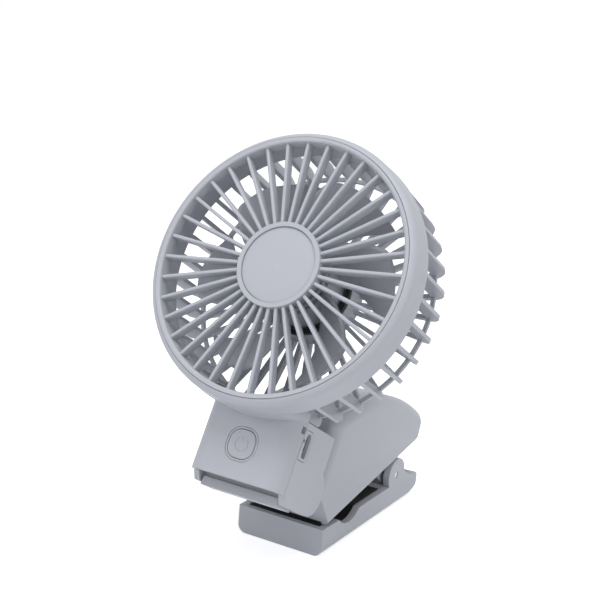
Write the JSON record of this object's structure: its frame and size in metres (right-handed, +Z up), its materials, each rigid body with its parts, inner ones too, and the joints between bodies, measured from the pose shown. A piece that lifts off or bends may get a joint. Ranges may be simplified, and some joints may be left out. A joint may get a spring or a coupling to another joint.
{
  "type": "clip fan",
  "caption": "Rechargeable clip-on desk fan: a caged axial fan on a tilting neck, carried by a sprung clip that also serves as its stand",
  "frame": {"origin": "middle of the underside of the whole object's bounding box, on the surface it stands on", "axes": "+Z up; the fan faces -Y and leans back; the clip runs along Y with its mouth at -Y; +X is the side with the charging port"},
  "size_m": [0.106, 0.1266, 0.1594],
  "materials": {
    "case": "satin moulded plastic, cool light grey",
    "fan_plastic": "satin moulded plastic, cool light grey",
    "inner_plastic": "plain moulded plastic",
    "black_rubber": "matt black rubber",
    "nylon": "plain nylon",
    "light_pipe": "smoked light pipe, unlit",
    "board": "green solder mask",
    "switch_body": "moulded",
    "port_steel": "drawn and plated",
    "zinc_steel": "zinc plated",
    "pin_steel": "ground",
    "spring_steel": "drawn wire",
    "rotor_steel": "drawn and plated",
    "lamination": "stacked laminations",
    "winding_copper": "enamelled copper wire",
    "magnet": "sintered ring",
    "bronze": "sintered bronze",
    "cell_wrap": "shrink sleeve",
    "nickel": "nickel strip"
  },
  "bodies": {
    "stand_jaw": {"lower_jaw": "case", "lower_jaw_pad": "black_rubber", "hinge_pin": "pin_steel", "torsion_spring": "spring_steel"},
    "clip_body": {"body_shell": "case", "body_base": "case", "upper_jaw_pad": "black_rubber", "body_screws": "zinc_steel", "battery_cell": "cell_wrap", "cell_tabs": "nickel", "cell_holder": "inner_plastic"},
    "head": {"front_shell": "case", "front_grille": "case", "centre_cap": "case", "rear_cage": "case", "motor_damper": "black_rubber", "motor_bushes": "bronze", "motor_stator": "lamination", "motor_windings": "winding_copper", "neck_rear_shell": "case", "neck_cover": "case", "button_bezel": "case", "control_board": "board", "button_switch": "switch_body", "usb_c_port": "port_steel", "port_inlay": "case", "charge_light": "light_pipe", "neck_screws": "zinc_steel", "tilt_axle": "pin_steel", "tilt_washers": "nylon"},
    "rotor": {"impeller": "fan_plastic", "motor_shaft": "pin_steel", "rotor_magnet": "magnet", "rotor_can": "rotor_steel"},
    "button": {"power_button": "case"}
  },
  "joints": [
    {"name": "clip_hinge", "type": "hinge", "parent": "stand_jaw", "child": "clip_body", "pos_m": [0, 0.0405, 0.0146], "axis": [-1, 0, 0], "range_deg": [0, 28], "stiffness_Nm_per_rad": 0.35, "springref_deg": -28.65, "deforming": ["torsion_spring"]},
    {"name": "head_tilt", "type": "hinge", "parent": "clip_body", "child": "head", "pos_m": [0, -0.0335, 0.0305], "axis": [1, 0, 0], "range_deg": [0, 80]},
    {"name": "impeller_spin", "type": "hinge", "parent": "head", "child": "rotor", "pos_m": [0, -0.03827, 0.11524], "axis": [0, -0.866, 0.5], "continuous": true},
    {"name": "button_press", "type": "slide", "parent": "head", "child": "button", "axis": [0, 0.866, -0.5], "range_m": [0, 0.0004], "stiffness_N_per_m": 1500, "springref_m": -0.0004}
  ]
}
